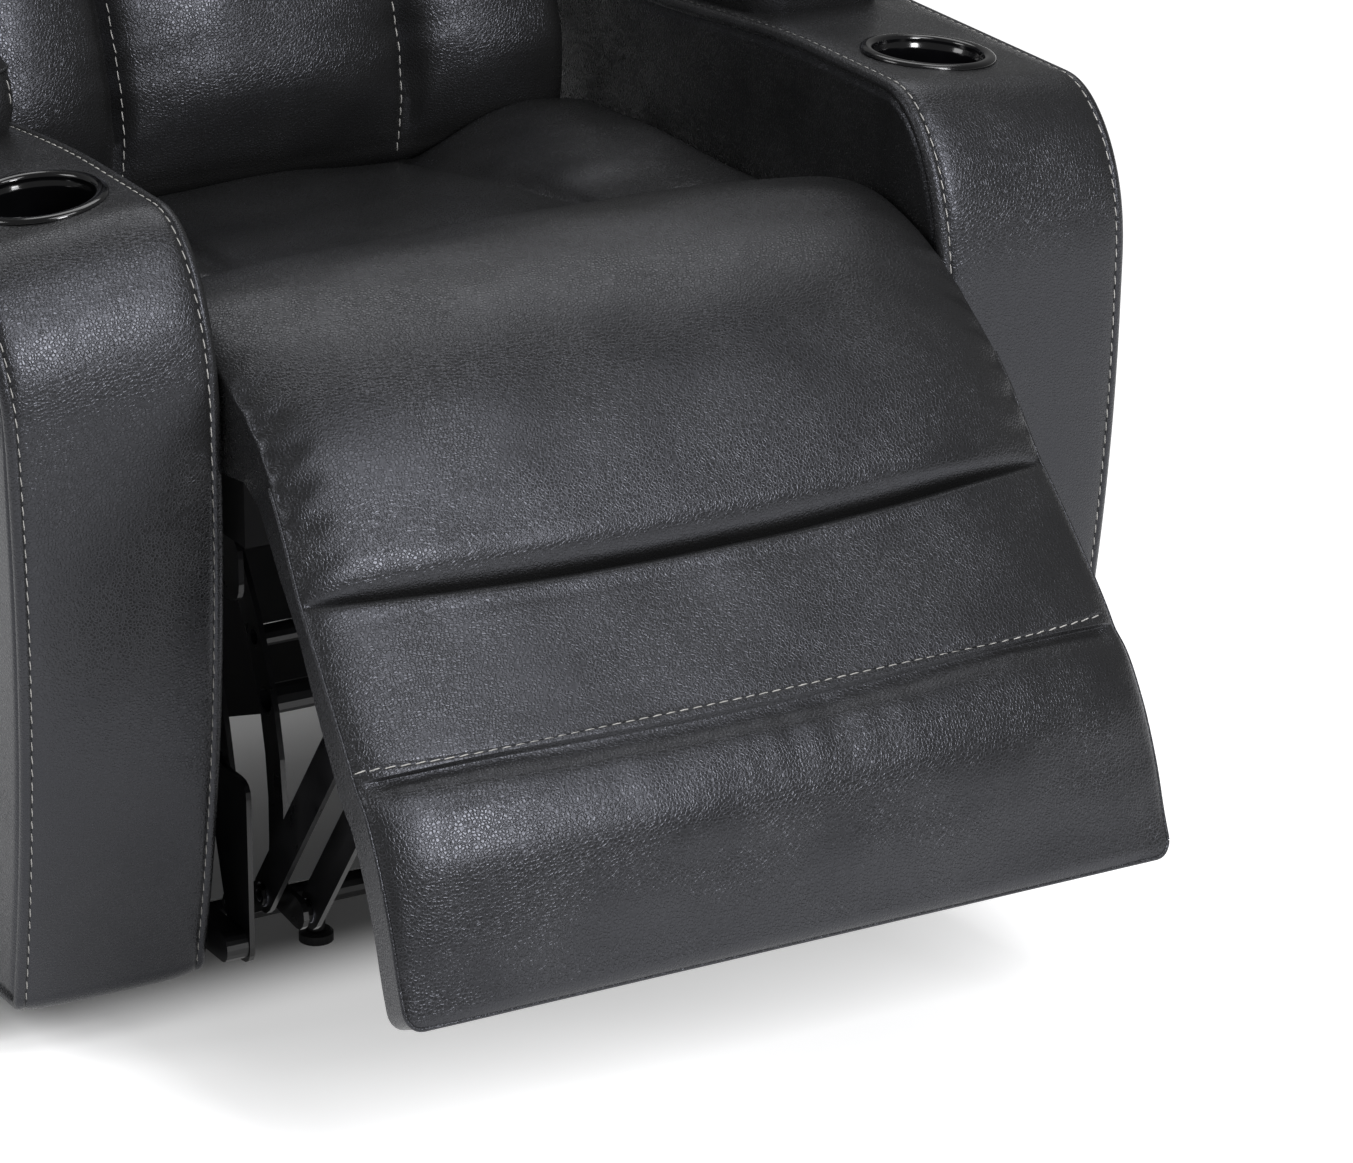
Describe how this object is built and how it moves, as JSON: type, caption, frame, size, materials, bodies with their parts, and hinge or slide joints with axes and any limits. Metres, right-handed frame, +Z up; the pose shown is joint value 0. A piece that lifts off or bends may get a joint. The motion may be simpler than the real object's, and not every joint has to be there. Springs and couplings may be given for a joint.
{
  "type": "powered cinema recliner seat",
  "caption": "Powered recliner armchair for a cinema: a tilting back, a folding leg rest on a steel linkage, padded arms with cup holders and lidded storage.",
  "frame": {"origin": "on the floor, at the middle of the chair's floor area with the footrest partly out", "axes": "+Z up, -Y the way a seated person faces, +X the sitter's left"},
  "size_m": [0.9016, 1.129, 1.0338],
  "materials": {
    "leather": "pebbled charcoal faux leather, semi-matt",
    "hidden_steel": "black powder-coated steel",
    "springs_and_pins": "plain steel wire, rods and pins",
    "cup": "glossy black",
    "buttons": "satin black",
    "plastic": "fine-grained black moulding",
    "wood": "plain beech plywood"
  },
  "bodies": {
    "root": {"arm_frame_left": "wood", "arm_frame_right": "wood", "arm_cover_left": "leather", "arm_cover_right": "leather", "cup_holder_left": "cup", "cup_holder_right": "cup", "storage_bin_left": "plastic", "storage_bin_right": "plastic", "lid_hinge_left": "hidden_steel", "lid_hinge_right": "hidden_steel", "base_rail_left": "hidden_steel", "base_rail_right": "hidden_steel", "base_front_tube": "hidden_steel", "base_rear_tube": "hidden_steel", "glide_front_left": "plastic", "glide_front_right": "plastic", "glide_rear_left": "plastic", "glide_rear_right": "plastic", "side_plate_left": "hidden_steel", "side_plate_right": "hidden_steel", "rocker_bolt_left": "springs_and_pins", "rocker_bolt_right": "springs_and_pins", "recline_bolt_left": "springs_and_pins", "recline_bolt_right": "springs_and_pins", "seat_box": "wood", "seat_springs": "springs_and_pins", "seat_cushion": "leather", "seat_roll": "leather", "drive_bar": "hidden_steel", "footrest_motor": "plastic", "recline_motor": "plastic", "control_plate": "plastic"},
    "footrest": {"footrest_pad": "leather", "footrest_board": "wood", "footrest_bracket_left": "hidden_steel", "footrest_bracket_right": "hidden_steel"},
    "rocker": {"rocker_link_left": "hidden_steel", "rocker_link_right": "hidden_steel", "torque_tube": "hidden_steel", "rocker_upper_bar": "hidden_steel"},
    "control_link_left": {"control_link_left": "hidden_steel"},
    "control_link_right": {"control_link_right": "hidden_steel"},
    "strut_first_left": {"strut_first_left": "hidden_steel"},
    "strut_first_right": {"strut_first_right": "hidden_steel"},
    "strut_second_left": {"strut_second_left": "hidden_steel"},
    "strut_second_right": {"strut_second_right": "hidden_steel"},
    "back": {"back_frame": "wood", "back_springs": "springs_and_pins", "back_cushion": "leather", "head_cushion": "leather", "rear_cover": "leather", "recline_carrier": "hidden_steel"},
    "footrest_rod": {"footrest_rod": "springs_and_pins"},
    "recline_rod": {"recline_rod": "springs_and_pins"},
    "arm_pad_left": {"arm_pad_left": "leather"},
    "arm_pad_right": {"arm_pad_right": "leather"},
    "button_open": {"button_open": "buttons"},
    "button_close": {"button_close": "buttons"}
  },
  "joints": [
    {"name": "footrest_swing", "type": "hinge", "parent": "root", "child": "footrest", "pos_m": [0, -0.26804, 0.52], "axis": [-1, 0, 0], "range_deg": [-34, 56]},
    {"name": "rocker_swing", "type": "hinge", "parent": "root", "child": "rocker", "pos_m": [0, -0.13603, 0.346], "axis": [-1, 0, 0], "range_deg": [-34, 56]},
    {"name": "control_link_left_swing", "type": "hinge", "parent": "root", "child": "control_link_left", "pos_m": [0.248, -0.10404, 0.329], "axis": [-1, 0, 0], "range_deg": [-34, 56]},
    {"name": "strut_first_left_swing", "type": "hinge", "parent": "rocker", "child": "strut_first_left", "pos_m": [0.238, -0.20603, 0.088], "axis": [-1, 0, 0], "range_deg": [-56, 34]},
    {"name": "strut_second_left_swing", "type": "hinge", "parent": "rocker", "child": "strut_second_left", "pos_m": [0.218, -0.24003, 0.084], "axis": [-1, 0, 0], "range_deg": [-56, 34]},
    {"name": "control_link_right_swing", "type": "hinge", "parent": "root", "child": "control_link_right", "pos_m": [-0.248, -0.10404, 0.329], "axis": [-1, 0, 0], "range_deg": [-34, 56]},
    {"name": "strut_first_right_swing", "type": "hinge", "parent": "rocker", "child": "strut_first_right", "pos_m": [-0.238, -0.20603, 0.088], "axis": [-1, 0, 0], "range_deg": [-56, 34]},
    {"name": "strut_second_right_swing", "type": "hinge", "parent": "rocker", "child": "strut_second_right", "pos_m": [-0.218, -0.24003, 0.084], "axis": [-1, 0, 0], "range_deg": [-56, 34]},
    {"name": "back_recline", "type": "hinge", "parent": "root", "child": "back", "pos_m": [0, 0.34697, 0.398], "axis": [-1, 0, 0], "range_deg": [0, 40]},
    {"name": "footrest_drive", "type": "slide", "parent": "root", "child": "footrest_rod", "axis": [0, -1, 0], "range_m": [-0.0323, 0.0531]},
    {"name": "recline_drive", "type": "slide", "parent": "root", "child": "recline_rod", "axis": [0, -1, 0], "range_m": [0, 0.0705]},
    {"name": "arm_pad_left_lift", "type": "hinge", "parent": "root", "child": "arm_pad_left", "pos_m": [0.4185, 0.20197, 0.59969], "axis": [0, 1, 0], "range_deg": [0, 85]},
    {"name": "arm_pad_right_lift", "type": "hinge", "parent": "root", "child": "arm_pad_right", "pos_m": [-0.4185, 0.20197, 0.59969], "axis": [0, -1, 0], "range_deg": [0, 85]},
    {"name": "button_open_press", "type": "slide", "parent": "root", "child": "button_open", "axis": [-1, 0, 0], "range_m": [0, 0.0025], "stiffness_N_per_m": 600},
    {"name": "button_close_press", "type": "slide", "parent": "root", "child": "button_close", "axis": [-1, 0, 0], "range_m": [0, 0.0025], "stiffness_N_per_m": 600}
  ],
  "couplings": [
    {"joint": "rocker_swing", "follows": "footrest_swing", "ratio": 1},
    {"joint": "control_link_left_swing", "follows": "footrest_swing", "ratio": 1},
    {"joint": "strut_first_left_swing", "follows": "footrest_swing", "ratio": -1},
    {"joint": "strut_second_left_swing", "follows": "footrest_swing", "ratio": -1},
    {"joint": "control_link_right_swing", "follows": "footrest_swing", "ratio": 1},
    {"joint": "strut_first_right_swing", "follows": "footrest_swing", "ratio": -1},
    {"joint": "strut_second_right_swing", "follows": "footrest_swing", "ratio": -1},
    {"joint": "footrest_drive", "follows": "footrest_swing", "m_per_rad": 0.05428},
    {"joint": "recline_drive", "follows": "back_recline", "m_per_rad": 0.10094}
  ]
}
